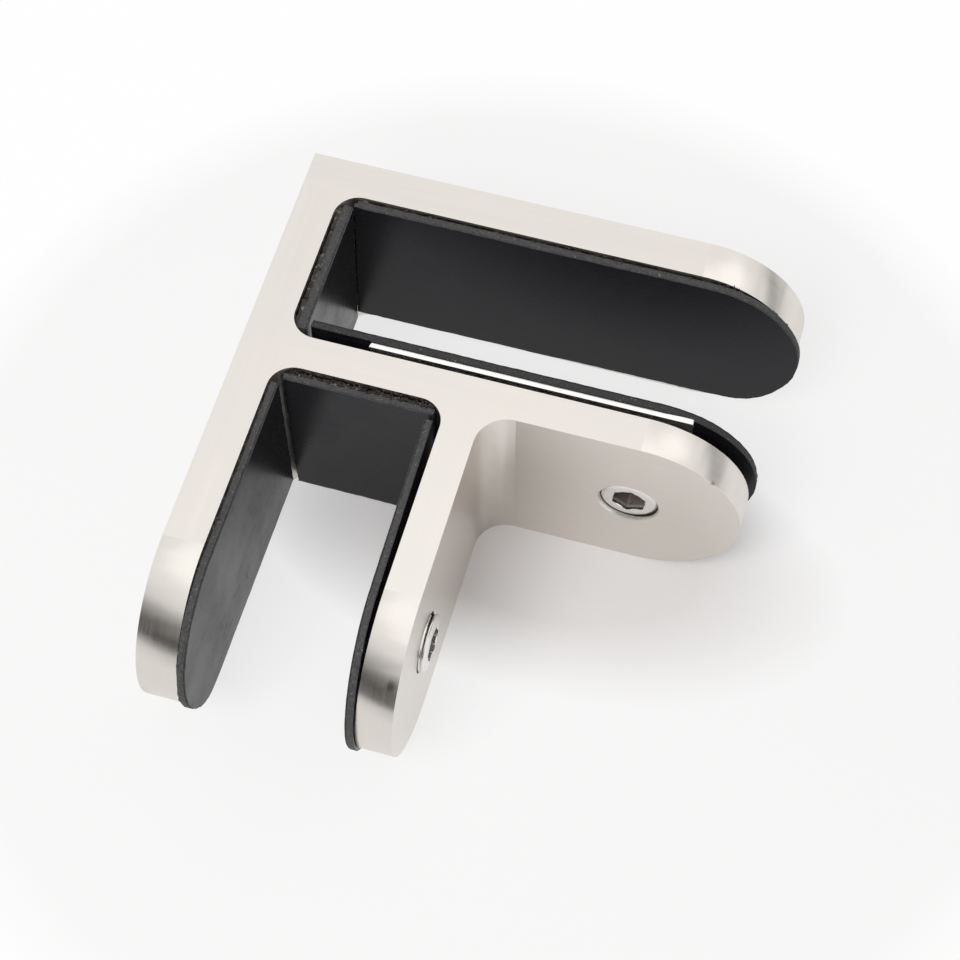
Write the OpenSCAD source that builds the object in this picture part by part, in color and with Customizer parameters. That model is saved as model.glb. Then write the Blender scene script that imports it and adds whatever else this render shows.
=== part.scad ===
// Corner glass clamp: one steel body with two slots at right angles. Each slot is lined with
// rubber and has a pressure plate that a set screw pushes against the glass.

/* [Body] */
// Height of the body, which is also the diameter of the round arm ends
body_h = 21; // [16:0.5:30]
// Thickness of the outer arm and of the spine
outer_wall = 4; // [3:0.1:6]
// Thickness of the first inner arm and of the web between the slots
inner_wall_1 = 3.6; // [3:0.1:6]
// Thickness of the second inner arm
inner_wall_2 = 3.5; // [3:0.1:6]
// Width of each slot between bare steel walls
slot_w = 17; // [15:0.5:22]
// Length of the outer arm from the outer corner
outer_arm_len = 51.3; // [45:0.1:70]
// Length of the first inner arm, counted from the spine's outer face
inner_arm_1_len = 50.2; // [45:0.1:70]
// Length of the spine from the outer corner
spine_len = 55.4; // [50:0.1:75]
// Length of the second inner arm, counted from the outer arm's outer face
inner_arm_2_len = 55.2; // [50:0.1:75]
// Fillet in the closed corners of both slots
slot_fillet = 2.5; // [1:0.1:3]
// Fillet where the two inner arms meet
arm_fillet = 3.2; // [1:0.1:5]

/* [Rubber pads] */
// Thickness of the side pads
pad_t = 0.8; // [0.5:0.1:2]
// Thickness of the end pads
end_pad_t = 1.05; // [0.5:0.05:2]
// Distance of the pads from the body's top and bottom faces
pad_inset = 0.4; // [0:0.1:1]
// Film of glue under the side pads
glue_film = 0.12; // [0.05:0.01:0.3]
// Gap between an end pad and the start of the side pads
pad_gap = 0.15; // [0.1:0.05:1]
// Gap between an end pad's short edges and the slot's side walls
end_pad_side_gap = 0.95; // [0.5:0.05:1.5]
// How far the outer side pads stand out past their arm's end
outer_pad_overhang = 0.5; // [0:0.1:1.5]
// How far the inner side pads stand out past their arm's end
inner_pad_overhang = 0.5; // [0:0.1:1.5]

/* [Pressure plates] */
// Thickness of the pressure plates
plate_t = 0.55; // [0.5:0.05:1.5]
// How much lower the first plate is than the body
plate_1_short = 2.6; // [2:0.1:5]
// How much lower the second plate is than the body
plate_2_short = 6.5; // [4:0.1:8]
// Radius of the plates' corners
plate_corner_r = 0.2; // [0.2:0.1:2]
// Distance from the end pad to the first plate
plate_1_start = 6.2; // [2:0.1:10]
// Distance from the end pad to the second plate
plate_2_start = 2.5; // [2:0.1:6]
// Distance from the first plate's far end to its arm's end
plate_1_tail = 6.5; // [5:0.1:9]
// Distance from the second plate's far end to its arm's end
plate_2_tail = 7.4; // [5:0.1:9]
// Depth of the first plate's top edge below the body's top face
plate_1_drop = 0.7; // [0.2:0.1:2]
// Depth of the second plate's top edge below the body's top face
plate_2_drop = 4.5; // [0.2:0.1:6]
// Gap between the first inner arm and its plate
plate_1_gap = 0.9; // [0.05:0.05:2]
// Gap between the second inner arm and its plate
plate_2_gap = 0.05; // [0.05:0.05:2]

/* [Set screws] */
// Outer diameter of the set screws
screw_d = 5.9; // [4.9:0.1:7.9]
// Length of the set screws
screw_len = 4.2; // [4:0.1:8]
// Distance from a screw's axis to its arm's end
screw_from_end = 11.1; // [9:0.1:14]
// Radial clearance between a screw and its hole
screw_clearance = 0.05; // [0.03:0.01:0.1]
// Width across the flats of the hexagon socket
socket_af = 3; // [2:0.5:4]
// Depth of the hexagon socket
socket_depth = 2; // [1.5:0.1:3]
// How far the socket's lead-in cone reaches past the hexagon's corners
socket_lead = 0.12; // [0.05:0.01:0.3]
// Chamfer at the mouth of a screw's hole
hole_chamfer = 0.1; // [0.05:0.05:0.5]
// Chamfer at the socket end of a screw
screw_chamfer = 0.3; // [0.1:0.05:0.5]
// Chamfer at the flat tip of a screw
tip_chamfer = 0.7; // [0.3:0.05:1]
// Turn of the first screw's hexagon about its axis, in degrees
screw_1_turn = 35; // [0:1:60]
// Turn of the second screw's hexagon about its axis, in degrees
screw_2_turn = 40; // [0:1:60]

/* [Hidden] */
$fn = 96;

// Clearance between flat faces that lie against each other
contact_gap = 0.02;
// Overlap of pieces of one solid that are joined, and of cuts past a face
joint_overlap = 0.5;
// Point angle of the drill that starts the hexagon socket
drill_point = 118;
// Drill diameter as a share of the hexagon's width
drill_share = 0.92;

// Depth of the second slot's end wall below the outer arm's outer face
slot_2_end = outer_wall + slot_w + inner_wall_1;
screw_r = screw_d / 2;
hole_r = screw_r + screw_clearance;
socket_r = socket_af / sqrt(3);
pad_h = body_h - 2 * pad_inset;

// The row of sizes for each slot: index 1 is the first slot and index 2 the second.
// Lengths run from the slot's end wall to the ends of its outer and inner arms.
outer_end = [0, outer_arm_len - outer_wall, spine_len - slot_2_end];
inner_end = [0, inner_arm_1_len - outer_wall, inner_arm_2_len - slot_2_end];
inner_wall = [0, inner_wall_1, inner_wall_2];
plate_h = [0, body_h - plate_1_short, body_h - plate_2_short];
plate_gap = [0, plate_1_gap, plate_2_gap];
plate_drop = [0, plate_1_drop, plate_2_drop];
plate_start = [0, plate_1_start, plate_2_start];
plate_tail = [0, plate_1_tail, plate_2_tail];
screw_turn = [0, screw_1_turn, screw_2_turn];

// The end pad's back corners rest on the fillets, which hold it off the end wall.
end_pad_standoff = slot_fillet > end_pad_side_gap
    ? slot_fillet - sqrt(pow(slot_fillet, 2) - pow(slot_fillet - end_pad_side_gap, 2)) + contact_gap
    : contact_gap;
end_pad_face = end_pad_standoff + end_pad_t;
// The side pads start where the fillet has sunk below their glue film.
fillet_clear = slot_fillet - sqrt(pow(slot_fillet, 2) - pow(slot_fillet - glue_film, 2)) + contact_gap;
side_pad_start = max(end_pad_face + pad_gap, fillet_clear);

// The box around all pieces, whose bottom centre is the origin
box_x = max(outer_arm_len + outer_pad_overhang, inner_arm_1_len + inner_pad_overhang);
box_y = max(spine_len + outer_pad_overhang, inner_arm_2_len + inner_pad_overhang);

// Moves the outer corner, where the sizes above start, to its place around the origin.
module from_corner() {
    translate([-box_x / 2, box_y / 2, 0])
        children();
}

// Local frame of a slot: x from the end wall to the mouth, y from the outer wall to the inner arm.
module in_slot(slot) {
    from_corner()
        if (slot == 1) {
            translate([outer_wall, -outer_wall, 0])
                mirror([0, 1, 0])
                    children();
        } else {
            translate([outer_wall, -slot_2_end, 0])
                rotate(-90)
                    children();
        }
}

// Gives an outline drawn in x and z a thickness, from the given y onwards.
module slab(y, thickness) {
    translate([0, y + thickness, 0])
        rotate([90, 0, 0])
            linear_extrude(thickness)
                children();
}

// Strip with one round end
module round_ended(start, end, bottom, height) {
    r = height / 2;
    translate([start, bottom])
        square([end - r - start, height]);
    translate([end - r, bottom + r])
        circle(r);
}

module rounded_rectangle(width, height, r) {
    translate([r, 0])
        square([width - 2 * r, height]);
    translate([0, r])
        square([width, height - 2 * r]);
    for (x = [r, width - r])
        for (y = [r, height - r])
            translate([x, y])
                circle(r);
}

// Upright fillet in the corner at the origin, in the quarter where x and y are positive
module corner_fillet(r) {
    linear_extrude(body_h)
        difference() {
            translate([-joint_overlap, -joint_overlap])
                square(r + joint_overlap);
            translate([r, r])
                circle(r);
        }
}

module arm(slot, y, thickness, start, end) {
    in_slot(slot)
        slab(y, thickness)
            round_ended(start, end, 0, body_h);
}

// Places a screw's axis: z runs out of the arm's outer face, and z = 0 is the arm's slot face.
module on_screw_axis(slot) {
    in_slot(slot)
        translate([inner_end[slot] - screw_from_end, slot_w, body_h / 2])
            rotate([-90, 0, 0])
                children();
}

module screw_hole(slot) {
    on_screw_axis(slot) {
        translate([0, 0, -joint_overlap])
            cylinder(h = inner_wall[slot] + 2 * joint_overlap, r = hole_r);
        translate([0, 0, inner_wall[slot] - hole_chamfer])
            cylinder(h = 2 * hole_chamfer, r1 = hole_r, r2 = hole_r + 2 * hole_chamfer);
    }
}

module clamp_body() {
    color("gainsboro")
        difference() {
            union() {
                arm(1, -outer_wall, outer_wall, -outer_wall, outer_end[1]);
                arm(1, slot_w, inner_wall_1, -outer_wall, inner_end[1]);
                arm(2, -outer_wall, outer_wall, -slot_2_end, outer_end[2]);
                arm(2, slot_w, inner_wall_2, -inner_wall_1, inner_end[2]);
                for (slot = [1, 2])
                    in_slot(slot) {
                        corner_fillet(slot_fillet);
                        translate([0, slot_w, 0])
                            mirror([0, 1, 0])
                                corner_fillet(slot_fillet);
                    }
                in_slot(2)
                    translate([0, slot_w + inner_wall_2, 0])
                        corner_fillet(arm_fillet);
            }
            for (slot = [1, 2])
                screw_hole(slot);
        }
}

module outer_pad(slot) {
    color("dimgray")
        in_slot(slot)
            slab(glue_film, pad_t)
                round_ended(side_pad_start, outer_end[slot] + outer_pad_overhang, pad_inset, pad_h);
}

module end_pad(slot) {
    color("dimgray")
        in_slot(slot)
            translate([end_pad_standoff, end_pad_side_gap, pad_inset])
                cube([end_pad_t, slot_w - 2 * end_pad_side_gap, pad_h]);
}

module inner_pad(slot) {
    color("dimgray")
        in_slot(slot)
            slab(slot_w - plate_gap[slot] - plate_t - contact_gap - pad_t, pad_t)
                round_ended(side_pad_start, inner_end[slot] + inner_pad_overhang, pad_inset, pad_h);
}

module pressure_plate(slot) {
    start = end_pad_face + plate_start[slot];
    color("silver")
        in_slot(slot)
            slab(slot_w - plate_gap[slot] - plate_t, plate_t)
                translate([start, body_h - plate_drop[slot] - plate_h[slot]])
                    rounded_rectangle(inner_end[slot] - plate_tail[slot] - start,
                                      plate_h[slot], plate_corner_r);
}

// Flat-pointed screw along z, with its tip at z = 0 and its socket facing +z
module socket_set_screw() {
    drill_r = drill_share * socket_af / 2;
    drill_depth = drill_r / tan(drill_point / 2);
    lead_r = socket_r + socket_lead;
    lead_depth = lead_r - socket_af / 2 + socket_lead;
    difference() {
        rotate_extrude()
            polygon([[0, 0],
                     [screw_r - tip_chamfer, 0],
                     [screw_r, tip_chamfer],
                     [screw_r, screw_len - screw_chamfer],
                     [screw_r - screw_chamfer, screw_len],
                     [lead_r, screw_len],
                     [lead_r - lead_depth, screw_len - lead_depth],
                     [0, screw_len - lead_depth]]);
        translate([0, 0, screw_len - socket_depth])
            cylinder(h = socket_depth + joint_overlap, r = socket_r, $fn = 6);
        translate([0, 0, screw_len - socket_depth - drill_depth])
            cylinder(h = drill_depth, r1 = 0, r2 = drill_r);
    }
}

module set_screw(slot) {
    color("lightgray")
        on_screw_axis(slot)
            translate([0, 0, contact_gap - plate_gap[slot]])
                rotate(screw_turn[slot])
                    socket_set_screw();
}

clamp_body();
outer_pad(1);  // outer_pad_1
end_pad(1);  // end_pad_1
inner_pad(1);  // inner_pad_1
pressure_plate(1);  // pressure_plate_1
set_screw(1);  // set_screw_1
outer_pad(2);  // outer_pad_2
end_pad(2);  // end_pad_2
inner_pad(2);  // inner_pad_2
pressure_plate(2);  // pressure_plate_2
set_screw(2);  // set_screw_2
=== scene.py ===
"""Looks of a corner glass clamp: satin steel body, rubber pads, pressure plates and set screws.

Lengths are in millimetres in the names and tables below, and in metres once a mesh is made.
"""

import math
import random

import bpy
from mathutils import Matrix, Vector, noise


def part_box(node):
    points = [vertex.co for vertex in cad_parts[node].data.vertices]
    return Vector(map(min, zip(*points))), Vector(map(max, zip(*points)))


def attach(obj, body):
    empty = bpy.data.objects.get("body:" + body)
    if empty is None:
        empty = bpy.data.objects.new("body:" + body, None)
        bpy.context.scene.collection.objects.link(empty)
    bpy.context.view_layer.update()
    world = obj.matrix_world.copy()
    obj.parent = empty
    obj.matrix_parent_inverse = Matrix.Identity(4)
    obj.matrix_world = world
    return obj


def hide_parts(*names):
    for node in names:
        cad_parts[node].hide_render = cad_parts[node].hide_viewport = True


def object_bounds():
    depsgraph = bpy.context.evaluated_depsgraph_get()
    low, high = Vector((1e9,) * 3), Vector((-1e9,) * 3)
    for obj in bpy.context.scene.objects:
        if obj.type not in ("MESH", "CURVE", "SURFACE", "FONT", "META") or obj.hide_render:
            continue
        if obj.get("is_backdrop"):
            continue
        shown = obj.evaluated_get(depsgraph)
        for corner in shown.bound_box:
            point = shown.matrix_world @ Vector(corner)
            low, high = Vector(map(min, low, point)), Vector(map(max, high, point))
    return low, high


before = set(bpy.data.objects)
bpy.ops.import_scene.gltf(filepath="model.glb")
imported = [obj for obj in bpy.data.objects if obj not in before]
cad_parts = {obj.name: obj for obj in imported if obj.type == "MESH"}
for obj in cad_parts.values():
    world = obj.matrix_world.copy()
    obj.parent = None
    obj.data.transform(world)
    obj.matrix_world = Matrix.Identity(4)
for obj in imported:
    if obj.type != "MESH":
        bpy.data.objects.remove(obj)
CAD_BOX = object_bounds()
MM = 0.001

AXES = {
    "+x": Vector((1, 0, 0)),
    "-x": Vector((-1, 0, 0)),
    "+y": Vector((0, 1, 0)),
    "-y": Vector((0, -1, 0)),
}
UP = Vector((0, 0, 1))

# Camera of the photograph, in the frame of the part
CAMERA_PLACE = Vector((27.67, -98.09, 198.08))
CAMERA_AZIMUTH = 16.16
CAMERA_ELEVATION = 60.96
CAMERA_ROLL = -0.29
CAMERA_LENS = 82.5
CAMERA_SENSOR = 36.0
# Point that the lamps and cards look at, in metres
LAMP_TARGET = Vector((0, 0, 0.01))
FLOOR_HALF = 1500.0

# Rounding of the sharp edges
BODY_EDGE = 0.2
PLATE_EDGE = 0.06

# Faces of the body where the direction of the brush lines changes
WEB_FACE_Y = 3.35
SPINE_FACE_X = -21.9
OUTER_ARM_FACE_Y = 23.95
# Dark spots painted on the steel: place, radius and darkness
DARK_SPOTS = (
    ((-2.05, -24.37, 17.73), 0.8, 0.7),
    ((20.93, 3.36, 18.21), 0.4, 0.6),
)
# Middle and half sizes of the shaded floor in the corner between the inner arms
SHADE_MIDDLE = (6.0, 2.0, 0.0)
SHADE_HALF_SIZES = (22.0, 11.5, 1.0)
# Shares of that oval between which the shade fades, and the radii between which the floor turns white
SHADE_FADE = (0.7, 1.4)
WHITE_FADE = (30.0, 62.0)

# Each pad: its body, the direction along it, the way its glass face looks, and whether its end is round
PADS = {
    "outer_pad_1": ("clamp", "+x", "-y", True),
    "end_pad_1": ("clamp", "+y", "+x", False),
    "inner_pad_1": ("jaw_1", "+x", "+y", True),
    "outer_pad_2": ("clamp", "-y", "+x", True),
    "end_pad_2": ("clamp", "+x", "-y", False),
    "inner_pad_2": ("jaw_2", "-y", "-x", True),
}
OUTLINE_STEP = 0.3
# Cut edge of a pad from its back to its glass face: share of the thickness, and depth below the outline
CUT_EDGE = (
    (0.0, 0.06),
    (0.1, 0.0),
    (0.35, 0.02),
    (0.6, 0.0),
    (0.78, 0.01),
    (0.85, 0.09),
    (0.92, 0.01),
    (1.0, 0.05),
)
# Pads whose lower edge was cut askew: height of the cut at the start and at the end of the pad
ASKEW_CUTS = {"outer_pad_1": (0.6, 1.2), "outer_pad_2": (1.2, 2.0)}
# How softly that cut runs into the rest of the outline
CUT_BLEND = 0.9
# Pads that were pressed thinner: loss of thickness at the top and at the bottom
PRESSED = {"end_pad_1": (0.0, 0.6), "end_pad_2": (0.35, 0.35)}
# The second inner pad leans towards the glass at its start, and back towards its arm at its curling end
BENT_PAD = "inner_pad_2"
BENT_START = 0.25
BENT_SLOPE = 0.0167
BENT_CURL_FROM = 16.0
BENT_CURL = 0.00195
# Pads whose glass side reaches past their start: how far at the top and at the bottom
START_REACH = {"outer_pad_1": (0.3, 0.95)}
# Share of the thickness from which they do
REACH_FROM = 0.55
# Unevenness of the knife's cut: depth and fineness of its waves, tears and nicks
CUT_WAVE = 0.1
WAVE_FINENESS = 0.23
CUT_ROUGHNESS = 0.1
TEAR_FINENESS = 1.7
NICK_DEPTH = 0.22
NICK_FINENESS = 0.9
NICK_LEVEL = 0.55
NICK_SHIFT = Vector((7.3, 1.9, 0))

# Films of glue: the pad, and the gap behind it that the glue fills
GLUE_FILMS = {
    "outer_pad_1": 0.11,
    "outer_pad_2": 0.11,
    "end_pad_1": 0.45,
    "end_pad_2": 0.45,
}
# How far the films end inside the pads, and how much that varies
FILM_INSET = 0.3
FILM_SPREAD = 0.35
FILM_FRONT = -0.01
# Crumbs of glue along the top of a pad: the pad, the stretch of its length, and how many
CRUMB_RUNS = (
    ("outer_pad_1", 0.45, 0.86, 46),
    ("outer_pad_1", 0.05, 0.4, 10),
    ("end_pad_2", 0.3, 0.98, 80),
    ("end_pad_2", 0.02, 0.3, 16),
    ("end_pad_1", 0.0, 0.5, 12),
    ("outer_pad_2", 0.2, 0.62, 14),
)
CRUMB_SIZE = (0.05, 0.17)
CRUMB_RISE = (-0.08, 0.1)
CRUMB_FRONT = 0.12
CRUMB_RINGS = 4
CRUMB_SIDES = 7
CRUMB_SEED = 4

# Each screw: its body, the way its socket looks, and its arm's slot face and outer face along that way
SCREWS = {
    "set_screw_1": ("screw_1", "-y", -6.95, -3.35),
    "set_screw_2": ("screw_2", "+x", -4.9, -1.4),
}
# How deep each hole stays bright at its mouth before its painted shade begins
UNSHADED_MOUTH = {"set_screw_1": 0.55, "set_screw_2": -0.1}
# Turn of each socket about its screw, seen in the screw's own frame
SOCKET_TURN = {"set_screw_1": 25.0, "set_screw_2": 40.0}
THREAD_PITCH = 1.0
THREAD_CREST = 2.87
THREAD_ROOT = 2.38
# Stretch below the socket's face over which the thread grows to its full depth
THREAD_FADE = (0.35, 0.95)
# Shape of the thread: share of the half pitch that is flat at the root, and that the flank takes
ROOT_FLAT = 0.2
FLANK = 0.65
TIP_CHAMFER = 0.7
TIP_RADIUS = 1.57
# The socket end of a screw: radius of its flat face, then radius and depth of the wide cone round it
FACE_RADIUS = 2.38
CONE_RADIUS = 2.72
CONE_DEPTH = 0.12
HOLE_CHAMFER = 0.1
SOCKET_FLATS = 3.12
SOCKET_DEPTH = 2.0
SOCKET_ROUNDING = 0.04
SOCKET_WALL_DEPTHS = (0.7, 1.2, SOCKET_DEPTH - SOCKET_ROUNDING)
SOCKET_MARGIN = 0.03
SOCKET_LEAD_RADIUS = 1.63
SOCKET_DRILL = 1.38
DRILL_POINT = 118.0
BORE_RADIUS = 2.99
BORE_CREST = 2.9
BORE_WALL = 0.005
# The holes' thread: how far it stops short of the slot's face, and the widening at both of its ends
BORE_STOP = 0.05
BORE_LEAD = 1.2
ROUND_STEPS = 120
THREAD_STEPS = 16


# Meshes

def new_piece(name, vertices, faces, materials, face_slots=None, smooth_angle=35.0):
    """A mesh object from points in millimetres, smooth where its faces meet at a small angle."""
    mesh = bpy.data.meshes.new(name)
    mesh.from_pydata([Vector(v) * MM for v in vertices], [], faces)
    for material in materials:
        mesh.materials.append(material)
    if face_slots:
        mesh.polygons.foreach_set("material_index", face_slots)
    mesh.polygons.foreach_set("use_smooth", [True] * len(mesh.polygons))
    mesh.set_sharp_from_angle(angle=math.radians(smooth_angle))
    mesh.update()
    piece = bpy.data.objects.new(name, mesh)
    bpy.context.scene.collection.objects.link(piece)
    return piece


def strip(first, second, count):
    """Quads between two closed rings of vertices that start at the given indices."""
    quads = []
    for i in range(count):
        j = (i + 1) % count
        quads.append((first + i, first + j, second + j, second + i))
    return quads


def box_mm(node):
    low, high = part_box(node)
    return low / MM, high / MM


def box_frame(node, along, facing):
    """The box's corner where both directions and up start, and its sizes along, up and facing."""
    low, high = box_mm(node)
    corner = low.copy()
    for axis in (along, facing):
        for i in range(3):
            if axis[i] < 0:
                corner[i] = high[i]
    size = high - low
    return corner, abs(size.dot(along)), size.z, abs(size.dot(facing))


# Rubber pads and glue

def edge_points(start, end, outward):
    """Points from start up to but not with end, each with its outward direction."""
    count = max(2, round((end - start).length / OUTLINE_STEP))
    return [(start.lerp(end, i / count), outward) for i in range(count)]


def outline_counts(length, height):
    """How many points lie along a straight edge of a round-ended pad, and round its end."""
    radius = height / 2
    straight = max(2, round((length - radius) / OUTLINE_STEP))
    return straight, 2 * round(math.pi * radius / OUTLINE_STEP / 2)


def pad_outline(length, height, round_end):
    """A pad's outline from its lower start corner, as points with their outward directions."""
    down, up, back, forth = Vector((0, -1)), Vector((0, 1)), Vector((-1, 0)), Vector((1, 0))
    radius = height / 2 if round_end else 0.0
    straight = length - radius
    points = edge_points(Vector((0, 0)), Vector((straight, 0)), down)
    if round_end:
        _, steps = outline_counts(length, height)
        for i in range(steps):
            angle = math.pi * (i / steps - 0.5)
            ray = Vector((math.cos(angle), math.sin(angle)))
            points.append((Vector((straight, radius)) + radius * ray, ray))
    else:
        points += edge_points(Vector((length, 0)), Vector((length, height)), forth)
    points += edge_points(Vector((straight, height)), Vector((0, height)), up)
    points += edge_points(Vector((0, height)), Vector((0, 0)), back)
    return with_corner_directions(points)


def with_corner_directions(points):
    """Lets each square corner move in from both of its edges."""
    turned = []
    for i, (point, outward) in enumerate(points):
        before = points[i - 1][1]
        is_corner = outward.dot(before) < 0.5
        turned.append((point, outward + before if is_corner else outward))
    return turned


def cut_askew(outline, length, node):
    """Lifts the outline's lower points onto a slanting cut."""
    if node not in ASKEW_CUTS:
        return outline
    start, end = ASKEW_CUTS[node]
    lifted = []
    for point, outward in outline:
        low = start + (end - start) * point.x / length
        above = point.y - low
        height = low + (above + math.hypot(above, CUT_BLEND)) / 2
        lifted.append((Vector((point.x, height)), outward))
    return lifted


def bend(node, run):
    """How far a pad leans towards the glass at a point along it."""
    if node != BENT_PAD:
        return 0.0
    past = max(0.0, run - BENT_CURL_FROM)
    return BENT_START - BENT_SLOPE * run - BENT_CURL * past * past


def pressed_thickness(node, thickness, share):
    """Thickness of a pad at a share of its height."""
    top, bottom = PRESSED.get(node, (0.0, 0.0))
    return thickness - bottom - (top - bottom) * share


def start_reach(node, share):
    """How far a pad reaches past its start at a share of its height."""
    top, bottom = START_REACH.get(node, (0.0, 0.0))
    return bottom + (top - bottom) * share


def sheet(first, count, length, height, round_end):
    """Faces that fill an outline, in narrow columns where the pad may bend."""
    if not round_end:
        return [tuple(first + i for i in range(count))]
    straight, arc = outline_counts(length, height)
    columns = straight + arc // 2
    last = 2 * straight + arc
    start = [0, 1, last - 1] + list(range(last, count))
    faces = [tuple(first + i for i in start)]
    for i in range(1, columns - 1):
        faces.append((first + i, first + i + 1, first + last - i - 1, first + last - i))
    faces.append((first + columns - 1, first + columns, first + columns + 1))
    return faces


def ragged_depth(point, depth, seed):
    """How far the knife's cut lies inside the outline at a point of the edge."""
    place = Vector((point.x, point.y, seed))
    wave = CUT_WAVE * (0.5 + 0.5 * noise.noise(place * WAVE_FINENESS))
    torn = Vector((point.x * TEAR_FINENESS, point.y * TEAR_FINENESS, seed + depth * 2.5))
    tear = CUT_ROUGHNESS * (0.5 + depth) * (0.5 + 0.5 * noise.noise(torn))
    nick = NICK_DEPTH * max(0.0, noise.noise(place * NICK_FINENESS + NICK_SHIFT) - NICK_LEVEL)
    return wave + tear + nick


def pad_piece(node, face_rubber, cut_rubber):
    """A die-cut rubber pad in place of its plain solid."""
    body, along_name, facing_name, round_end = PADS[node]
    along, facing = AXES[along_name], AXES[facing_name]
    corner, length, height, thickness = box_frame(node, along, facing)
    outline = cut_askew(pad_outline(length, height, round_end), length, node)
    seed = 10.0 * list(PADS).index(node)
    count = len(outline)
    vertices, faces, slots = [], [], []
    for depth, inset in CUT_EDGE:
        for point, outward in outline:
            inward = inset + ragged_depth(point, depth, seed)
            place = point - inward * outward
            if point.x < OUTLINE_STEP / 2 and depth > REACH_FROM:
                place.x -= start_reach(node, place.y / height)
            front = bend(node, place.x) + depth * pressed_thickness(node, thickness, place.y / height)
            vertices.append(corner + place.x * along + place.y * UP + front * facing)
    for row in range(len(CUT_EDGE) - 1):
        faces += strip(row * count, (row + 1) * count, count)
    slots += [1] * len(faces)
    back_sheet = sheet(0, count, length, height, round_end)
    faces += [tuple(reversed(face)) for face in back_sheet]
    faces += sheet((len(CUT_EDGE) - 1) * count, count, length, height, round_end)
    slots += [0] * (2 * len(back_sheet))
    if along.cross(UP).dot(facing) < 0:
        faces = [tuple(reversed(face)) for face in faces]
    piece = new_piece(node + "_rubber", vertices, faces, [face_rubber, cut_rubber], slots)
    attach(piece, body)
    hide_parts(node)
    return piece


def glue_film(node, gap):
    """A torn film of glue that fills the gap behind a pad, as vertices and faces."""
    _, along_name, facing_name, round_end = PADS[node]
    along, facing = AXES[along_name], AXES[facing_name]
    corner, length, height, _ = box_frame(node, along, facing)
    outline = cut_askew(pad_outline(length, height, round_end), length, node)
    seed = 100.0 + 10.0 * list(PADS).index(node)
    count = len(outline)
    vertices, faces = [], []
    for depth in (-gap, FILM_FRONT):
        for point, outward in outline:
            spread = noise.noise(Vector((point.x * 0.8, point.y * 0.8, seed)))
            spread += 0.6 * noise.noise(Vector((point.x * 2.9, point.y * 2.9, seed)))
            place = point - (FILM_INSET - FILM_SPREAD * spread) * outward
            vertices.append(corner + place.x * along + place.y * UP + depth * facing)
    faces += strip(0, count, count)
    faces.append(tuple(count + i for i in range(count)))
    faces.append(tuple(reversed(range(count))))
    if along.cross(UP).dot(facing) < 0:
        faces = [tuple(reversed(face)) for face in faces]
    return vertices, faces


def crumb_rays():
    """Directions from a crumb's middle to its points, from the top in rings down to the bottom."""
    rays = [UP]
    for i in range(1, CRUMB_RINGS):
        polar = math.pi * i / CRUMB_RINGS
        for j in range(CRUMB_SIDES):
            turn = 2 * math.pi * j / CRUMB_SIDES
            across = math.sin(polar)
            rays.append(Vector((across * math.cos(turn), across * math.sin(turn), math.cos(polar))))
    rays.append(-UP)
    return rays


def crumb(place, size, seed):
    """A lump of dried glue, as vertices and faces."""
    sides = CRUMB_SIDES
    vertices = []
    for ray in crumb_rays():
        reach = size * (0.8 + 0.45 * noise.noise(ray * 1.3 + Vector((seed, 0, seed))))
        vertices.append(place + reach * ray)
    bottom = len(vertices) - 1
    lowest = bottom - sides
    faces = [(0, 1 + j, 1 + (j + 1) % sides) for j in range(sides)]
    for i in range(CRUMB_RINGS - 2):
        faces += strip(1 + (i + 1) * sides, 1 + i * sides, sides)
    faces += [(lowest + (j + 1) % sides, lowest + j, bottom) for j in range(sides)]
    return vertices, faces


def crumb_run(node, start, end, count, rng):
    """Crumbs along the line where the top of a pad meets the steel behind it."""
    _, along_name, facing_name, _ = PADS[node]
    along, facing = AXES[along_name], AXES[facing_name]
    corner, length, height, _ = box_frame(node, along, facing)
    gap = GLUE_FILMS[node]
    for _ in range(count):
        run = length * rng.uniform(start, end)
        size = rng.uniform(*CRUMB_SIZE)
        depth = rng.uniform(-gap, CRUMB_FRONT)
        rise = height + rng.uniform(*CRUMB_RISE)
        yield crumb(corner + run * along + rise * UP + depth * facing, size, rng.uniform(0, 50))


def glue_piece(material):
    """All the glue that shows behind and beside the pads."""
    rng = random.Random(CRUMB_SEED)
    vertices, faces = [], []
    lumps = [glue_film(node, gap) for node, gap in GLUE_FILMS.items()]
    for node, start, end, count in CRUMB_RUNS:
        lumps += crumb_run(node, start, end, count, rng)
    for lump_vertices, lump_faces in lumps:
        first = len(vertices)
        vertices += lump_vertices
        faces += [tuple(first + i for i in face) for face in lump_faces]
    piece = new_piece("glue_residue", vertices, faces, [material])
    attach(piece, "clamp")
    return piece


# Set screws and the threads of their holes

def thread_radius(angle, z):
    """Radius of the screw's thread: flat crests and roots with straight flanks between them."""
    phase = (z / THREAD_PITCH - angle / (2 * math.pi)) % 1.0
    height = abs(2 * phase - 1)
    share = min(1.0, max(0.0, (height - ROOT_FLAT) / FLANK))
    return THREAD_ROOT + (THREAD_CREST - THREAD_ROOT) * share


def faded_thread(angle, z, length):
    """Radius of the thread where it runs out towards the socket's face."""
    first, last = THREAD_FADE
    share = min(1.0, max(0.0, (length - z - first) / (last - first)))
    return THREAD_CREST + share * (thread_radius(angle, z) - THREAD_CREST)


def hexagon_radius(angle, turn):
    """Distance from the axis to the socket's wall."""
    side = math.radians(60)
    return SOCKET_FLATS / 2 / math.cos((angle - turn) % side - side / 2)


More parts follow.
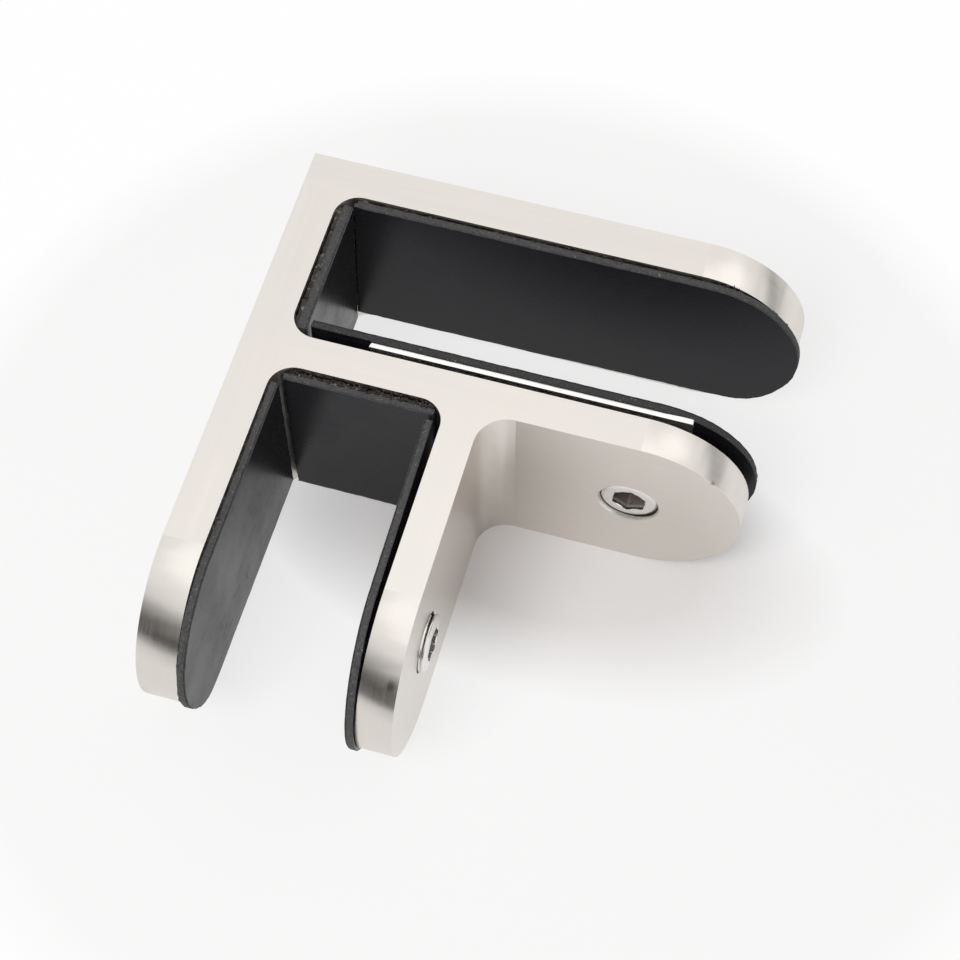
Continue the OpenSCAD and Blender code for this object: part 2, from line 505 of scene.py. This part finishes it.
def screw_rings(length, turn):
    """Radius and height along the screw's surface, from its tip round to the bottom of its socket."""
    rows = [lambda a: (TIP_RADIUS, 0.0)]
    steps = round(length / THREAD_PITCH * THREAD_STEPS)
    for i in range(steps + 1):
        z = length * i / steps
        tip_limit = THREAD_CREST - TIP_CHAMFER + z
        limit = min(tip_limit, end_radius(length - z))
        rows.append(lambda a, z=z, limit=limit: (min(faded_thread(a, z, length), limit), z))
    rows.append(lambda a: (max(SOCKET_LEAD_RADIUS, hexagon_radius(a, turn)) + SOCKET_MARGIN, length))
    for share in (0.0, 0.5, 1.0):
        rows.append(lambda a, share=share: lead_in(a, share, length, turn))
    for depth in SOCKET_WALL_DEPTHS:
        rows.append(lambda a, depth=depth: (hexagon_radius(a, turn), length - depth))
    floor = length - SOCKET_DEPTH
    rows.append(lambda a: (hexagon_radius(a, turn) - SOCKET_ROUNDING, floor))
    rows.append(lambda a: (SOCKET_DRILL, floor))
    return rows


def end_radius(depth):
    """Largest radius of the screw at a depth below the face with its socket."""
    cone = FACE_RADIUS + (CONE_RADIUS - FACE_RADIUS) * depth / CONE_DEPTH
    rim = CONE_RADIUS + depth - CONE_DEPTH
    return min(cone, rim)


def lead_in(angle, share, length, turn):
    """The cone that leads a key into the socket, cut off in arcs by the hexagon's walls."""
    wall = hexagon_radius(angle, turn)
    start = max(SOCKET_LEAD_RADIUS, wall)
    radius = start + share * (wall - start)
    return radius, length - (start - radius) - 0.02 * share


def screw_frame(node):
    """Places a screw: z runs from the middle of its tip out of its socket."""
    _, facing_name, _, _ = SCREWS[node]
    out = AXES[facing_name]
    low, high = box_mm(node)
    middle = (low + high) / 2
    length = abs((high - low).dot(out))
    side = UP.cross(out)
    turn = Matrix((side, UP, out)).transposed().to_4x4()
    return Matrix.Translation((middle - out * length / 2) * MM) @ turn, length


def mouth_height(node):
    """Height of the arm's outer face above the screw's tip."""
    _, facing_name, _, outer_face = SCREWS[node]
    placed, _ = screw_frame(node)
    return outer_face - (placed.translation / MM).dot(AXES[facing_name])


def round_point(angle, radius, z):
    return Vector((radius * math.cos(angle), radius * math.sin(angle), z))


def ring_angles():
    return [2 * math.pi * i / ROUND_STEPS for i in range(ROUND_STEPS)]


def ring(radius_at, z):
    """Points of a level ring round z, whose radius depends on the angle."""
    return [round_point(angle, radius_at(angle), z) for angle in ring_angles()]


def lathe(rows, start, end):
    """Vertices and faces of rings round z that close at a start and an end point."""
    vertices = [Vector((0, 0, start))]
    for row in rows:
        vertices += [round_point(angle, *row(angle)) for angle in ring_angles()]
    vertices.append(Vector((0, 0, end)))
    faces = [(0, 1 + (i + 1) % ROUND_STEPS, 1 + i) for i in range(ROUND_STEPS)]
    for row in range(len(rows) - 1):
        faces += strip(1 + row * ROUND_STEPS, 1 + (row + 1) * ROUND_STEPS, ROUND_STEPS)
    last = 1 + (len(rows) - 1) * ROUND_STEPS
    top = len(vertices) - 1
    faces += [(last + i, last + (i + 1) % ROUND_STEPS, top) for i in range(ROUND_STEPS)]
    return vertices, faces


def screw_piece(node, steel):
    """A threaded set screw in place of its plain solid."""
    body = SCREWS[node][0]
    placed, length = screw_frame(node)
    drill_depth = SOCKET_DRILL / math.tan(math.radians(DRILL_POINT / 2))
    rows = screw_rings(length, math.radians(SOCKET_TURN[node]))
    vertices, faces = lathe(rows, 0.0, length - SOCKET_DEPTH - drill_depth)
    piece = new_piece(node + "_threaded", vertices, faces, [steel], smooth_angle=25.0)
    piece.matrix_world = placed
    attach(piece, body)
    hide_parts(node)
    return piece


def bore_radius(angle, z, to_end):
    """Radius of a hole's thread at a height and at a distance from the thread's nearer end."""
    share = (thread_radius(angle, z) - THREAD_ROOT) / (THREAD_CREST - THREAD_ROOT)
    groove = BORE_CREST + share * (BORE_RADIUS - BORE_CREST)
    mouth = BORE_RADIUS - 2 * BORE_WALL - BORE_LEAD * to_end
    return min(BORE_RADIUS - BORE_WALL, max(groove, mouth))


def bore_thread(node, steel):
    """The thread in the arm round a screw, shallow enough to clear the screw's plain end."""
    _, _, slot_face, outer_face = SCREWS[node]
    placed, _ = screw_frame(node)
    last = mouth_height(node) - HOLE_CHAMFER
    first = mouth_height(node) - (outer_face - slot_face) + BORE_STOP
    steps = round((last - first) / THREAD_PITCH * THREAD_STEPS)
    vertices, faces = [], []
    for i in range(steps + 1):
        z = first + (last - first) * i / steps
        to_end = min(z - first, last - z)
        vertices += ring(lambda angle: bore_radius(angle, z, to_end), z)
    for z in (last, first):
        vertices += ring(lambda angle: BORE_RADIUS, z)
    rings = steps + 3
    for row in range(rings):
        faces += strip(((row + 1) % rings) * ROUND_STEPS, row * ROUND_STEPS, ROUND_STEPS)
    piece = new_piece(node.replace("set_screw", "bore_thread"), vertices, faces, [steel])
    piece.matrix_world = placed
    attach(piece, "clamp")
    return piece


# Material nodes

class Nodes:
    """Short ways to add nodes to a material and join them."""

    def __init__(self, name, **shader_values):
        self.material = bpy.data.materials.new(name)
        self.material.use_nodes = True
        self.tree = self.material.node_tree
        self.shader = self.tree.nodes["Principled BSDF"]
        for socket, value in shader_values.items():
            self.shader.inputs[socket.replace("_", " ")].default_value = value

    def set(self, socket, value):
        if isinstance(value, bpy.types.NodeSocket):
            self.tree.links.new(value, socket)
        else:
            socket.default_value = value

    def add(self, kind, inputs=None, **settings):
        node = self.tree.nodes.new("ShaderNode" + kind)
        for name, value in settings.items():
            setattr(node, name, value)
        for key, value in (inputs or {}).items():
            self.set(node.inputs[key], value)
        return node

    def math(self, operation, first, second=0.0):
        return self.add("Math", {0: first, 1: second}, operation=operation).outputs[0]

    def mix(self, factor, first, second):
        return self.add("Mix", {0: factor, 2: first, 3: second}, data_type="FLOAT").outputs[0]

    def mix_colour(self, factor, first, second):
        return self.add("Mix", {0: factor, 6: first, 7: second}, data_type="RGBA").outputs[2]

    def noise(self, vector, scale, detail=2.0, roughness=0.5):
        inputs = {"Vector": vector, "Scale": scale, "Detail": detail, "Roughness": roughness}
        return self.add("TexNoise", inputs).outputs["Fac"]

    def ramp(self, value, low, high, low_out=0.0, high_out=1.0):
        """Maps low to high onto low_out to high_out, and stays inside them."""
        inputs = {0: value, 1: low, 2: high, 3: low_out, 4: high_out}
        return self.add("MapRange", inputs, clamp=True).outputs[0]

    def place(self):
        """Object coordinates in millimetres."""
        inputs = {0: self.add("TexCoord").outputs["Object"], "Scale": 1 / MM}
        return self.add("VectorMath", inputs, operation="SCALE").outputs[0]

    def stretched(self, vector, scale):
        return self.add("Mapping", {"Vector": vector, "Scale": scale}).outputs[0]

    def times(self, first, second):
        return self.math("MULTIPLY", first, second)

    def normal(self):
        return self.add("TexCoord").outputs["Normal"]

    def split(self, vector):
        node = self.add("SeparateXYZ", {0: vector})
        return node.outputs[0], node.outputs[1], node.outputs[2]

    def join(self, x, y, z):
        return self.add("CombineXYZ", {0: x, 1: y, 2: z}).outputs[0]

    def bump(self, height, strength, distance):
        inputs = {"Height": height, "Strength": strength, "Distance": distance * MM}
        return self.add("Bump", inputs).outputs[0]

    def use(self, socket, value):
        self.set(self.shader.inputs[socket], value)


def grey(value):
    return (value, value, value, 1.0)


def oval(nodes, centre, half_sizes):
    """Distance from a centre in object coordinates, where 1 is the rim of an oval."""
    offset = nodes.add("VectorMath", {0: nodes.place(), 1: centre}, operation="SUBTRACT").outputs[0]
    shares = nodes.add("VectorMath", {0: offset, 1: half_sizes}, operation="DIVIDE").outputs[0]
    return nodes.add("VectorMath", {0: shares}, operation="LENGTH").outputs["Value"]


def body_lines(nodes):
    """A coordinate across the brush lines: they run along each arm and round its end."""
    x, y, z = nodes.split(nodes.place())
    normal_x, normal_y, _ = nodes.split(nodes.normal())
    below_web = nodes.math("LESS_THAN", y, WEB_FACE_Y)
    on_spine = nodes.math("LESS_THAN", x, SPINE_FACE_X)
    below_arm = nodes.math("LESS_THAN", y, OUTER_ARM_FACE_Y)
    along_y = nodes.math("MAXIMUM", below_web, nodes.times(on_spine, below_arm))
    across = nodes.mix(along_y, nodes.math("ABSOLUTE", normal_y), nodes.math("ABSOLUTE", normal_x))
    on_side = nodes.math("GREATER_THAN", across, 0.7)
    line = nodes.mix(on_side, nodes.mix(along_y, y, x), z)
    run = nodes.math("ADD", nodes.math("ADD", x, y), z)
    return line, run


def body_steel():
    """Satin brushed stainless steel."""
    nodes = Nodes("satin_steel", Metallic=1.0)
    line, run = body_lines(nodes)
    fine = nodes.noise(nodes.join(nodes.times(line, 7.0), nodes.times(run, 0.05), 0.0), 1.0, 3.0)
    broad = nodes.noise(nodes.join(nodes.times(line, 1.1), nodes.times(run, 0.03), 0.0), 1.0)
    cloud = nodes.noise(nodes.place(), 0.09, 3.0)
    tone = nodes.mix(0.4, fine, broad)
    streaks = nodes.ramp(tone, 0.3, 0.7)
    colour = nodes.mix_colour(streaks, (0.73, 0.69, 0.642, 1), (0.78, 0.738, 0.69, 1))
    patches = nodes.ramp(cloud, 0.35, 0.7, 0.0, 0.5)
    colour = nodes.mix_colour(patches, colour, (0.74, 0.718, 0.668, 1))
    for centre, radius, darkness in DARK_SPOTS:
        distance = oval(nodes, centre, (radius, radius, radius))
        uneven = nodes.math("ADD", distance, nodes.times(fine, 0.6))
        cover = nodes.ramp(uneven, 1.2, 0.5, 0.0, darkness)
        colour = nodes.mix_colour(cover, colour, (0.12, 0.1, 0.085, 1))
    nodes.use("Base Color", colour)
    nodes.use("Roughness", nodes.ramp(tone, 0.25, 0.75, 0.26, 0.36))
    nodes.use("Normal", nodes.bump(fine, 0.08, 0.02))
    return nodes.material


def plate_steel(name, top_shade):
    """Bright sheet steel with faint roll marks, and a share of painted shade on its top edge."""
    nodes = Nodes(name, Metallic=1.0)
    marks = nodes.noise(nodes.stretched(nodes.place(), (0.2, 0.2, 4.0)), 1.0, 3.0)
    streaks = nodes.ramp(marks, 0.3, 0.7)
    colour = nodes.mix_colour(streaks, (0.9, 0.885, 0.86, 1), (0.98, 0.97, 0.95, 1))
    roughness = nodes.ramp(marks, 0.3, 0.7, 0.22, 0.34)
    if top_shade:
        # Painted shade: upward faces turn almost black, rougher and less metallic
        _, _, upward = nodes.split(nodes.normal())
        darkening = nodes.ramp(upward, 0.2, 0.6, 0.0, top_shade)
        colour = nodes.mix_colour(darkening, colour, (0.008, 0.007, 0.006, 1))
        roughness = nodes.mix(darkening, roughness, 0.8)
        nodes.use("Metallic", nodes.math("SUBTRACT", 1.0, darkening))
    nodes.use("Base Color", colour)
    nodes.use("Roughness", roughness)
    nodes.use("Normal", nodes.bump(marks, 0.05, 0.02))
    return nodes.material


def screw_steel(name, mouth):
    """Turned steel: fine rings, brown oil in the socket and a ring of painted shade on the thread
    inside the hole.
    """
    nodes = Nodes(name)
    place = nodes.place()
    x, y, z = nodes.split(place)
    radius = nodes.math("SQRT", nodes.math("ADD", nodes.times(x, x), nodes.times(y, y)))
    rings = nodes.noise(nodes.join(nodes.times(radius, 9.0), nodes.times(z, 9.0), 0.0), 1.0, 2.0)
    stains = nodes.noise(place, 1.3, 3.0)
    in_socket = nodes.times(nodes.ramp(radius, 1.9, 1.75), nodes.ramp(z, 4.0, 3.6))
    below_mouth = nodes.ramp(z, mouth + 0.1, mouth - 0.05)
    # Painted shade: the outermost thread below the arm's mouth turns near black, where the gap round
    # the screw lies
    painted_gap_shade = nodes.times(nodes.ramp(radius, 2.8, 2.84), below_mouth)
    turned = nodes.ramp(rings, 0.3, 0.7)
    colour = nodes.mix_colour(turned, (0.74, 0.725, 0.7, 1), (0.88, 0.87, 0.85, 1))
    stained = nodes.ramp(stains, 0.3, 0.7)
    oil = nodes.mix_colour(stained, (0.12, 0.1, 0.09, 1), (0.18, 0.15, 0.135, 1))
    colour = nodes.mix_colour(in_socket, colour, oil)
    nodes.use("Base Color", nodes.mix_colour(painted_gap_shade, colour, (0.015, 0.012, 0.01, 1)))
    # Oil in the socket and painted shade in the hole together
    darkening = nodes.math("MAXIMUM", in_socket, painted_gap_shade)
    nodes.use("Metallic", nodes.ramp(darkening, 0.0, 1.0, 1.0, 0.15))
    nodes.use("Roughness", nodes.mix(darkening, nodes.ramp(rings, 0.3, 0.7, 0.16, 0.28), 0.42))
    nodes.use("Normal", nodes.bump(rings, 0.06, 0.02))
    return nodes.material


def bore_steel(name, shade_from):
    """Cut steel in a threaded hole: bright at its mouth, with painted shade further in."""
    nodes = Nodes(name)
    place = nodes.place()
    _, _, z = nodes.split(place)
    marks = nodes.noise(place, 3.0, 3.0)
    patches = nodes.ramp(marks, 0.3, 0.7)
    colour = nodes.mix_colour(patches, (0.62, 0.59, 0.56, 1), (0.78, 0.75, 0.71, 1))
    # Painted shade: the wall turns near black below a depth, and less metallic
    uneven = nodes.math("ADD", z, nodes.times(marks, 0.1))
    darkening = nodes.ramp(uneven, shade_from + 0.05, shade_from - 0.05)
    nodes.use("Base Color", nodes.mix_colour(darkening, colour, (0.02, 0.017, 0.015, 1)))
    nodes.use("Metallic", nodes.ramp(darkening, 0.0, 1.0, 1.0, 0.15))
    nodes.use("Roughness", nodes.ramp(marks, 0.3, 0.7, 0.3, 0.45))
    return nodes.material


def face_rubber():
    """Matt rubber sheet with a fine grain, faint scuffs and a little dust."""
    nodes = Nodes("rubber_sheet", Specular_IOR_Level=0.2, Specular_Tint=(0.93, 0.94, 1.0, 1.0))
    place = nodes.place()
    grain = nodes.noise(place, 9.0, 3.0)
    cloud = nodes.noise(place, 0.22, 3.0)
    scuffs = nodes.noise(nodes.stretched(place, (0.6, 0.6, 2.6)), 1.0, 4.0, 0.65)
    worn = nodes.times(nodes.ramp(scuffs, 0.56, 0.7), nodes.ramp(cloud, 0.4, 0.65))
    grains = nodes.ramp(grain, 0.3, 0.7)
    colour = nodes.mix_colour(grains, (0.005, 0.005, 0.007, 1), (0.008, 0.008, 0.0105, 1))
    nodes.use("Base Color", nodes.mix_colour(nodes.times(worn, 0.5), colour, (0.03, 0.03, 0.034, 1)))
    nodes.use("Roughness", nodes.mix(worn, nodes.ramp(cloud, 0.3, 0.7, 0.24, 0.32), 0.5))
    nodes.use("Normal", nodes.bump(grain, 0.12, 0.03))
    return nodes.material


def cut_rubber(name, dark, pale):
    """The knife-cut edge of the rubber: paler than its face, torn and dusty."""
    nodes = Nodes(name, Specular_IOR_Level=0.4)
    place = nodes.place()
    fibres = nodes.noise(place, 3.5, 4.0, 0.65)
    specks = nodes.noise(place, 7.0, 1.0)
    colour = nodes.mix_colour(nodes.ramp(fibres, 0.3, 0.7), grey(dark), grey(pale))
    dust = nodes.ramp(specks, 0.7, 0.78)
    nodes.use("Base Color", nodes.mix_colour(dust, colour, (0.3, 0.29, 0.27, 1)))
    nodes.use("Roughness", nodes.ramp(fibres, 0.3, 0.7, 0.6, 0.8))
    nodes.use("Normal", nodes.bump(fibres, 0.5, 0.06))
    return nodes.material


def glue():
    """Dried contact glue, brown black."""
    nodes = Nodes("dried_glue", Specular_IOR_Level=0.5)
    lumps = nodes.noise(nodes.place(), 5.0, 3.0)
    raised = nodes.ramp(lumps, 0.35, 0.7)
    colour = nodes.mix_colour(raised, (0.008, 0.007, 0.006, 1), (0.035, 0.028, 0.022, 1))
    flecks = nodes.noise(nodes.place(), 2.2, 2.0)
    colour = nodes.mix_colour(nodes.ramp(flecks, 0.58, 0.66), colour, (0.17, 0.15, 0.125, 1))
    nodes.use("Base Color", colour)
    nodes.use("Roughness", nodes.ramp(lumps, 0.3, 0.7, 0.35, 0.6))
    nodes.use("Normal", nodes.bump(lumps, 0.4, 0.05))
    return nodes.material


def seen_directly(tree):
    """1 for rays from the camera and for reflected or refracted ones, 0 for light on matt surfaces."""
    light_path = tree.nodes.new("ShaderNodeLightPath")
    seen = light_path.outputs["Is Camera Ray"]
    for name in ("Is Glossy Ray", "Is Transmission Ray"):
        either = tree.nodes.new("ShaderNodeMath")
        either.operation = "MAXIMUM"
        tree.links.new(seen, either.inputs[0])
        tree.links.new(light_path.outputs[name], either.inputs[1])
        seen = either.outputs[0]
    return seen


def paper(near, middle, far):
    """Pale studio floor that keeps its shadow in the clamp's corner and whitens away from it."""
    nodes = Nodes("studio_paper", Roughness=0.9, Specular_IOR_Level=0.0)
    fibre = nodes.noise(nodes.place(), 0.8, 3.0)
    nodes.use("Base Color", nodes.mix_colour(fibre, (0.74, 0.72, 0.715, 1), (0.76, 0.735, 0.73, 1)))
    beside = nodes.ramp(oval(nodes, SHADE_MIDDLE, SHADE_HALF_SIZES), *SHADE_FADE, near, middle)
    away = nodes.ramp(oval(nodes, (0, 0, 0), (1, 1, 1)), *WHITE_FADE, 0.0, far)
    whiteness = nodes.math("MAXIMUM", beside, away)
    white = nodes.add("Emission", {"Color": grey(1.0), "Strength": 1.0})
    share = nodes.times(seen_directly(nodes.tree), whiteness)
    mixed = nodes.add("MixShader", {0: share, 1: nodes.shader.outputs[0], 2: white.outputs[0]})
    nodes.set(nodes.tree.nodes["Material Output"].inputs["Surface"], mixed.outputs[0])
    return nodes.material


def dark_card(name, dark, turn):
    """A card for reflections: dark up to a share of its height, then rising to white."""
    nodes = Nodes(name, Roughness=1.0, Specular_IOR_Level=0.0)
    nodes.use("Base Color", grey(0.0))
    nodes.use("Emission Color", grey(1.0))
    place = nodes.add("TexCoord").outputs["Generated"]
    _, rise, _ = nodes.split(place)
    uneven = nodes.math("ADD", rise, nodes.times(nodes.noise(place, 6.0), 0.02))
    nodes.use("Emission Strength", nodes.ramp(uneven, turn, 1.0, dark, 1.0))
    return nodes.material


# Pieces that keep their solid

def soften_edges(node, width, material):
    """Rounds a solid's sharp edges and gives it its material."""
    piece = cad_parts[node]
    weld = piece.modifiers.new("weld", "WELD")
    weld.merge_threshold = 0.001 * MM
    bevel = piece.modifiers.new("edge_rounding", "BEVEL")
    bevel.width = width * MM
    bevel.segments = 3
    bevel.limit_method = "ANGLE"
    bevel.angle_limit = math.radians(30)
    bevel.harden_normals = True
    piece.data.materials.clear()
    piece.data.materials.append(material)


# Studio

def aim(obj, target):
    obj.rotation_euler = (target - obj.location).to_track_quat("-Z", "Y").to_euler()


def add_camera():
    camera = bpy.data.cameras.new("camera")
    camera.lens = CAMERA_LENS
    camera.sensor_width = CAMERA_SENSOR
    camera.clip_start = 0.01
    piece = bpy.data.objects.new("camera", camera)
    azimuth = Matrix.Rotation(math.radians(CAMERA_AZIMUTH), 4, "Z")
    tilt = Matrix.Rotation(math.radians(90 - CAMERA_ELEVATION), 4, "X")
    roll = Matrix.Rotation(math.radians(CAMERA_ROLL), 4, "Z")
    piece.matrix_world = Matrix.Translation(CAMERA_PLACE * MM) @ azimuth @ tilt @ roll
    bpy.context.scene.collection.objects.link(piece)
    bpy.context.scene.camera = piece


def direction(azimuth, elevation):
    """A direction by its turn from +X towards +Y and its height above the floor, in degrees."""
    turn, rise = math.radians(azimuth), math.radians(elevation)
    return Vector((math.cos(turn) * math.cos(rise), math.sin(turn) * math.cos(rise), math.sin(rise)))


def add_lamp(name, azimuth, elevation, distance, size, power, in_reflections):
    lamp = bpy.data.lights.new(name, "AREA")
    lamp.shape = "RECTANGLE"
    lamp.size, lamp.size_y = size
    lamp.energy = power
    piece = bpy.data.objects.new(name, lamp)
    piece.location = direction(azimuth, elevation) * distance
    piece.visible_glossy = in_reflections
    aim(piece, LAMP_TARGET)
    bpy.context.scene.collection.objects.link(piece)


def rectangle(name, width, height, material):
    """A flat piece round the origin that faces up."""
    x, y = width / 2, height / 2
    corners = [(-x, -y, 0), (x, -y, 0), (x, y, 0), (-x, y, 0)]
    return new_piece(name, corners, [(0, 1, 2, 3)], [material])


def add_card(name, azimuth, elevation, distance, width, height, material):
    """A dark card that only shows in reflections."""
    piece = rectangle(name, width, height, material)
    piece.location = direction(azimuth, elevation) * distance * MM
    aim(piece, LAMP_TARGET)
    piece.visible_camera = False
    piece.visible_diffuse = False
    piece.visible_shadow = False
    piece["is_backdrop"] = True


def add_floor(material):
    piece = rectangle("floor", 2 * FLOOR_HALF, 2 * FLOOR_HALF, material)
    piece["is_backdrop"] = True


def add_world(ambient):
    """White where it is seen, also in metal; dimmer as light on matt surfaces."""
    world = bpy.data.worlds.new("studio")
    world.use_nodes = True
    bpy.context.scene.world = world
    tree = world.node_tree
    background = tree.nodes["Background"]
    background.inputs["Color"].default_value = grey(1.0)
    strength = tree.nodes.new("ShaderNodeMapRange")
    strength.inputs["To Min"].default_value = ambient
    tree.links.new(seen_directly(tree), strength.inputs["Value"])
    tree.links.new(strength.outputs[0], background.inputs["Strength"])


def build():
    soften_edges("clamp_body", BODY_EDGE, body_steel())
    soften_edges("pressure_plate_1", PLATE_EDGE, plate_steel("sheet_steel", 0.0))
    # The second plate's top edge carries painted shade
    soften_edges("pressure_plate_2", PLATE_EDGE, plate_steel("sheet_steel_painted_shade", 0.95))
    face, cut = face_rubber(), cut_rubber("rubber_cut_edge", 0.03, 0.085)
    # The first jaw's inner pad gets a darker copy of the cut-edge rubber: painted shade
    shaded_cut = cut_rubber("rubber_edge_painted_shade", 0.015, 0.045)
    for node in PADS:
        pad_piece(node, face, shaded_cut if node == "inner_pad_1" else cut)
    glue_piece(glue())
    for node in SCREWS:
        screw_piece(node, screw_steel(node + "_steel", mouth_height(node)))
        bore_thread(node, bore_steel(node + "_bore", mouth_height(node) - UNSHADED_MOUTH[node]))


def light_studio():
    add_world(ambient=0.4)
    add_lamp("softbox", 70, 88, 0.5, (0.42, 0.42), 0.18, in_reflections=True)
    add_lamp("right_strip", 46, 50, 0.5, (0.25, 0.18), 0.06, in_reflections=True)
    add_lamp("key", -112, 54, 0.6, (0.3, 0.3), 2.4, in_reflections=False)
    add_card("front_card", -98, 24, 200, 330, 190, dark_card("front_shade", 0.03, 0.46))
    add_card("back_card", 33, 12, 420, 390, 180, dark_card("back_shade", 0.3, 0.5))
    add_floor(paper(near=0.03, middle=0.75, far=0.98))


def write_sizes():
    """Lists the solid's box and the dressed box side by side as plain numbers; they are not kept or
    written.
    """
    boxes = {"cad": CAD_BOX, "visual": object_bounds()}
    plain = {name: [[float(v) for v in corner] for corner in box] for name, box in boxes.items()}


build()
add_camera()
light_studio()
bpy.context.scene.view_settings.view_transform = "Standard"
write_sizes()
